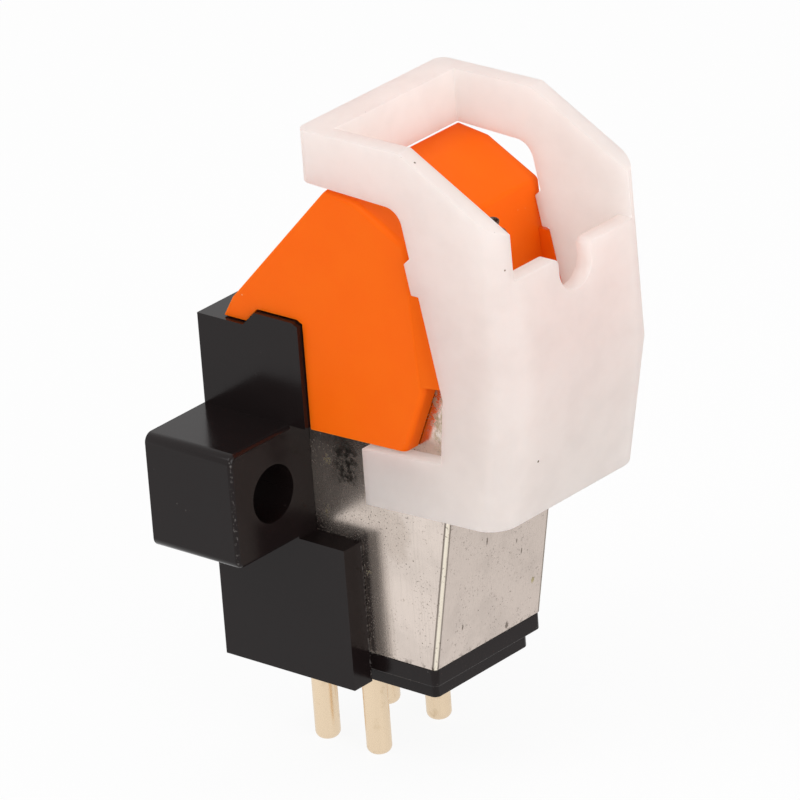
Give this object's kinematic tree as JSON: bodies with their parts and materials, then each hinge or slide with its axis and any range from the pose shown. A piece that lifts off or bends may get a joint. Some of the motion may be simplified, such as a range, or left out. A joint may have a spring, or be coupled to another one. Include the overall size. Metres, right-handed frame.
{
  "type": "turntable stylus cartridge",
  "caption": "Moving-magnet pickup cartridge with mounting ears, screened body, pull-off stylus holder and clear slide-on stylus guard.",
  "frame": {"origin": "midway between the two screw holes, on the flat mounting face", "axes": "+X from the mounting face to the record side, +Z along the cartridge to its nose, away from the pins, Y from ear to ear"},
  "size_m": [0.0181, 0.018, 0.0314],
  "materials": {
    "black_moulding": "gloss",
    "nickel": "brushed",
    "sleeve_metal": "satin",
    "gilt": "polished",
    "core_metal": "satin",
    "bobbin_plastic": "matte",
    "copper": "enamelled",
    "orange_moulding": "satin",
    "damper_rubber": "matte",
    "lever_alloy": "polished",
    "magnet_metal": "satin",
    "diamond": "polished",
    "clear_guard": "translucent"
  },
  "bodies": {
    "cartridge": {"body_moulding": "black_moulding", "shield_can": "nickel", "terminal_base": "black_moulding", "pin_left_signal": "gilt", "pin_left_return": "gilt", "pin_right_signal": "gilt", "pin_right_return": "gilt", "pole_left": "core_metal", "pole_right": "core_metal", "core_bridge": "core_metal", "bobbin_left": "bobbin_plastic", "bobbin_right": "bobbin_plastic", "coil_left": "copper", "coil_right": "copper", "channel_screen": "core_metal", "coil_leads": "copper"},
    "stylus_unit": {"stylus_holder": "orange_moulding", "plug_sleeve": "sleeve_metal"},
    "suspension": {"damper": "damper_rubber"},
    "lever": {"cantilever": "lever_alloy", "joint_pipe": "lever_alloy", "magnet": "magnet_metal", "stylus_tip": "diamond"},
    "guard": {"stylus_guard": "clear_guard"}
  },
  "joints": [
    {"name": "stylus_pull", "type": "slide", "parent": "cartridge", "child": "stylus_unit", "axis": [0, 0, 1], "range_m": [0, 0.008]},
    {"name": "guard_pull", "type": "slide", "parent": "stylus_unit", "child": "guard", "axis": [1, 0, 0], "range_m": [0, 0.009]},
    {"name": "lever_sway", "type": "hinge", "parent": "stylus_unit", "child": "suspension", "pos_m": [0.01195, 0, 0.0062], "axis": [1, 0, 0], "range_deg": [-3, 3], "stiffness_Nm_per_rad": 0.003},
    {"name": "lever_lift", "type": "hinge", "parent": "suspension", "child": "lever", "pos_m": [0.01195, 0, 0.0062], "axis": [0, 1, 0], "range_deg": [-3, 3], "stiffness_Nm_per_rad": 0.003}
  ]
}
